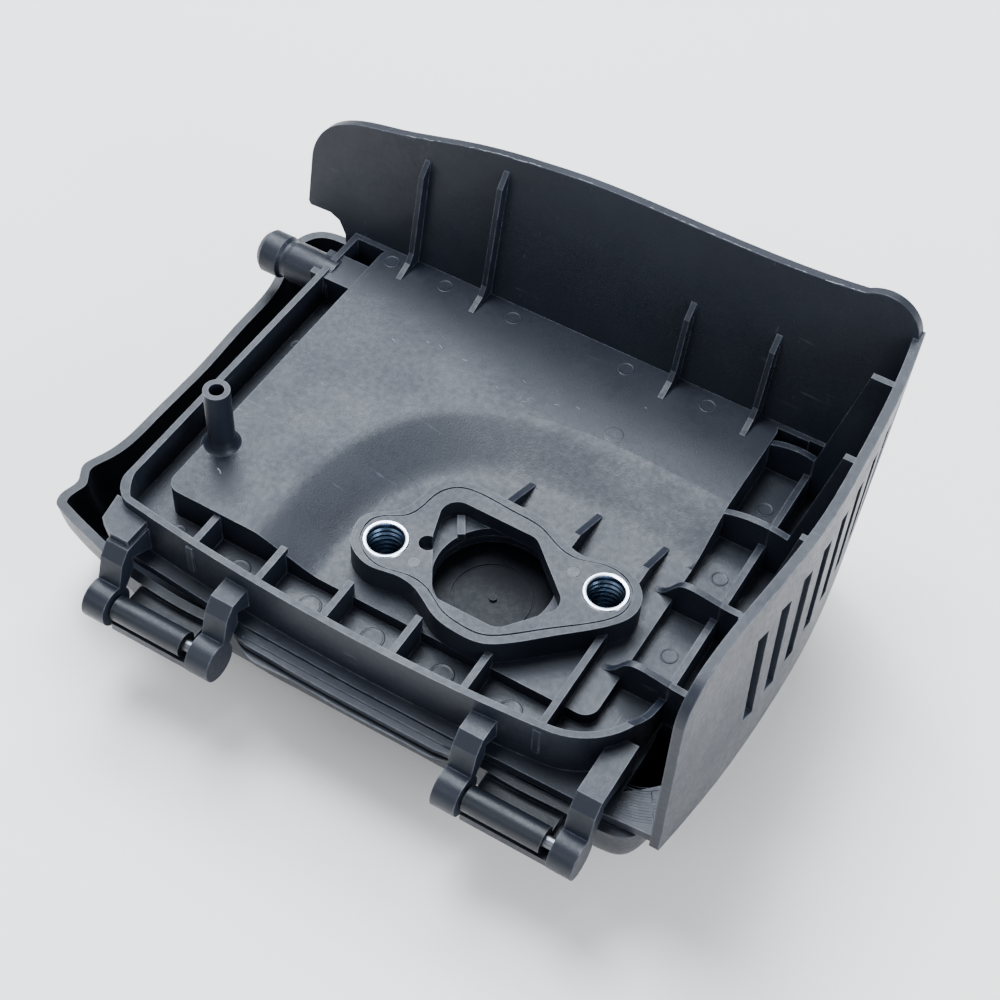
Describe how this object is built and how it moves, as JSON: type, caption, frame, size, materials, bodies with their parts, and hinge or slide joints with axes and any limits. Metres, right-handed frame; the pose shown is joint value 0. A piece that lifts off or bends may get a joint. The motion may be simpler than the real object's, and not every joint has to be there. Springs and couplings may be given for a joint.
{
  "type": "air filter housing",
  "caption": "Small-engine air filter housing with a stud flange, panel filter chamber, tall slotted shroud walls and a hinged, clipped cover.",
  "frame": {"origin": "midpoint of the two stud holes, on the carburettor face of the flange", "axes": "+Z out of the flange towards the carburettor, +X along the hinge line towards the slotted side wall, +Y from the hinges towards the tall back wall"},
  "size_m": [0.1435, 0.1222, 0.0749],
  "materials": {
    "black_plastic": "satin, fine spark-eroded grain",
    "cover_plastic": "satin",
    "steel": "bright zinc",
    "steel_dark": "dull",
    "seal": "moulded polyurethane",
    "paper": "resin-treated paper",
    "foam": "open-cell foam"
  },
  "bodies": {
    "housing": {"base_housing": "black_plastic", "carburettor_flange": "black_plastic", "carburettor_shroud": "black_plastic", "sleeve_left": "steel", "sleeve_right": "steel", "intake_baffle": "black_plastic", "hinge_pin_left": "steel_dark", "hinge_pin_right": "steel_dark", "filter_seal_frame": "seal", "filter_pleats": "paper", "filter_screen": "steel", "filter_foam": "foam"},
    "cover": {"outer_cover": "cover_plastic", "latch_pin": "steel_dark"},
    "latch": {"latch_clip": "cover_plastic"}
  },
  "joints": [
    {"name": "cover_hinge", "type": "hinge", "parent": "housing", "child": "cover", "pos_m": [0, -0.036, -0.0163], "axis": [-1, 0, 0], "range_deg": [0, 110]},
    {"name": "latch_pivot", "type": "hinge", "parent": "cover", "child": "latch", "pos_m": [-0.014, 0.0736, -0.023], "axis": [1, 0, 0], "range_deg": [0, 25]}
  ]
}
